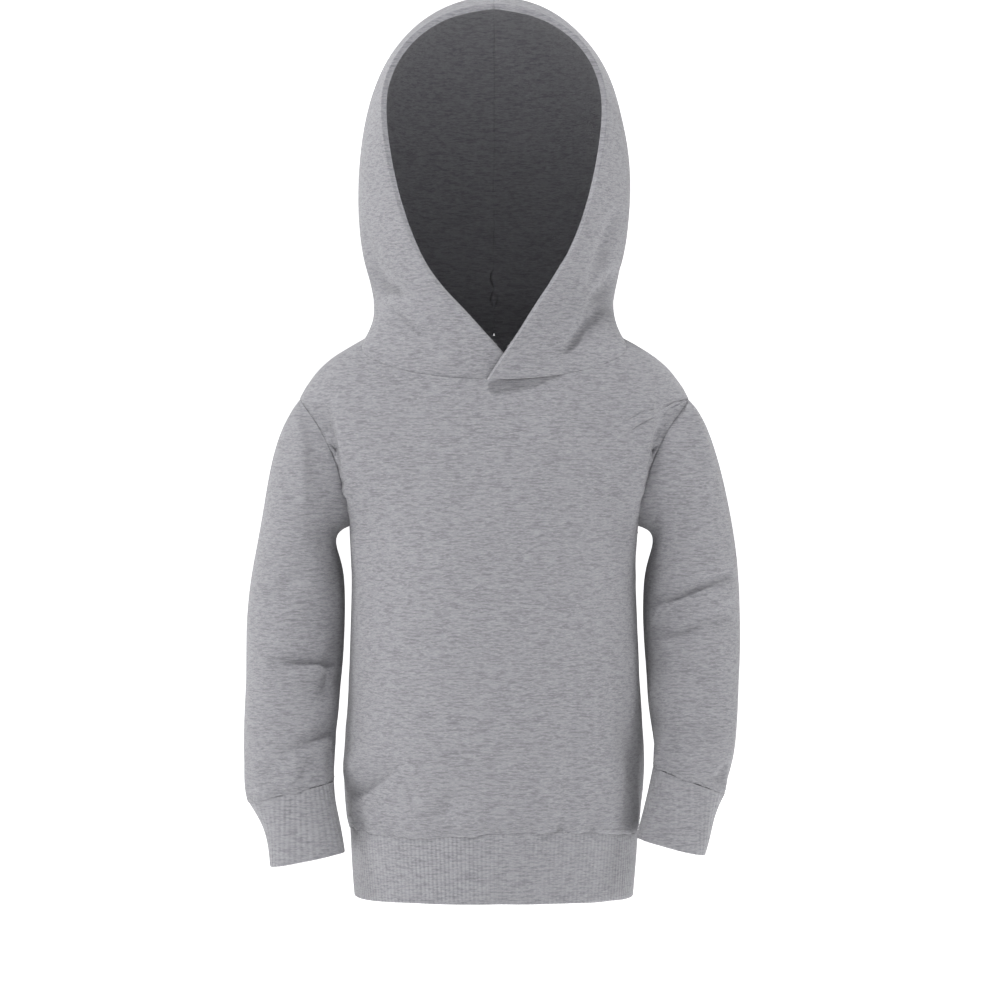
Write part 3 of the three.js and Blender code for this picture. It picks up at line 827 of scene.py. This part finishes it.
class SweatshirtSettings(bpy.types.PropertyGroup):
    """What a maker may change."""

    stitches: bpy.props.BoolProperty(
        name="Stitches",
        description="Add the rows of topstitching",
        default=True,
    )


class PieceOperator:
    """Sews the pieces in nodes."""

    bl_options = {"REGISTER", "UNDO"}
    nodes = ()

    def execute(self, context):
        for node in self.nodes:
            sew(node)
        return {"FINISHED"}


class SWEATSHIRT_OT_body(PieceOperator, bpy.types.Operator):
    """Make the front and back"""

    bl_idname = "sweatshirt.body"
    bl_label = "Front and Back"
    nodes = ("front_panel", "back_panel")


class SWEATSHIRT_OT_sleeves(PieceOperator, bpy.types.Operator):
    """Make the two sleeves"""

    bl_idname = "sweatshirt.sleeves"
    bl_label = "Sleeves"
    nodes = ("sleeve_right", "sleeve_left")


class SWEATSHIRT_OT_ribs(PieceOperator, bpy.types.Operator):
    """Make the rib cuffs and waistband"""

    bl_idname = "sweatshirt.ribs"
    bl_label = "Cuffs and Waistband"
    nodes = ("cuff_right", "cuff_left", "waistband")


class SWEATSHIRT_OT_hood(PieceOperator, bpy.types.Operator):
    """Make the two halves of the hood"""

    bl_idname = "sweatshirt.hood"
    bl_label = "Hood"
    nodes = ("hood_right", "hood_left")


class SWEATSHIRT_OT_stitches(bpy.types.Operator):
    """Make the rows of topstitching"""

    bl_idname = "sweatshirt.stitches"
    bl_label = "Stitches"
    bl_options = {"REGISTER", "UNDO"}

    def execute(self, context):
        material = thread_material()
        for row in TOPSTITCHING:
            seam_stitches(row, material)
        for node in ("hood_right", "hood_left"):
            hem_stitches(node, material)
        return {"FINISHED"}


class SWEATSHIRT_OT_studio(bpy.types.Operator):
    """Make the floor, the lights and the camera"""

    bl_idname = "sweatshirt.studio"
    bl_label = "Studio"
    bl_options = {"REGISTER", "UNDO"}

    def execute(self, context):
        make_studio()
        return {"FINISHED"}


STEPS = (
    SWEATSHIRT_OT_body,
    SWEATSHIRT_OT_sleeves,
    SWEATSHIRT_OT_ribs,
    SWEATSHIRT_OT_hood,
    SWEATSHIRT_OT_stitches,
    SWEATSHIRT_OT_studio,
)


class SWEATSHIRT_PT_panel(bpy.types.Panel):
    """The steps, in the order they are made"""

    bl_idname = "SWEATSHIRT_PT_panel"
    bl_label = "Sweatshirt"
    bl_space_type = "VIEW_3D"
    bl_region_type = "UI"
    bl_category = "Sweatshirt"

    def draw(self, context):
        self.layout.prop(context.scene.sweatshirt, "stitches")
        for step in STEPS:
            self.layout.operator(step.bl_idname)


CLASSES = (SweatshirtSettings, *STEPS, SWEATSHIRT_PT_panel)


def register():
    for part in CLASSES:
        bpy.utils.register_class(part)
    bpy.types.Scene.sweatshirt = bpy.props.PointerProperty(type=SweatshirtSettings)


def unregister():
    del bpy.types.Scene.sweatshirt
    for part in reversed(CLASSES):
        bpy.utils.unregister_class(part)


def main():
    register()
    bpy.ops.sweatshirt.body()
    bpy.ops.sweatshirt.sleeves()
    bpy.ops.sweatshirt.ribs()
    bpy.ops.sweatshirt.hood()
    if bpy.context.scene.sweatshirt.stitches:
        bpy.ops.sweatshirt.stitches()
    bpy.ops.sweatshirt.studio()


if __name__ == "__main__":
    main()
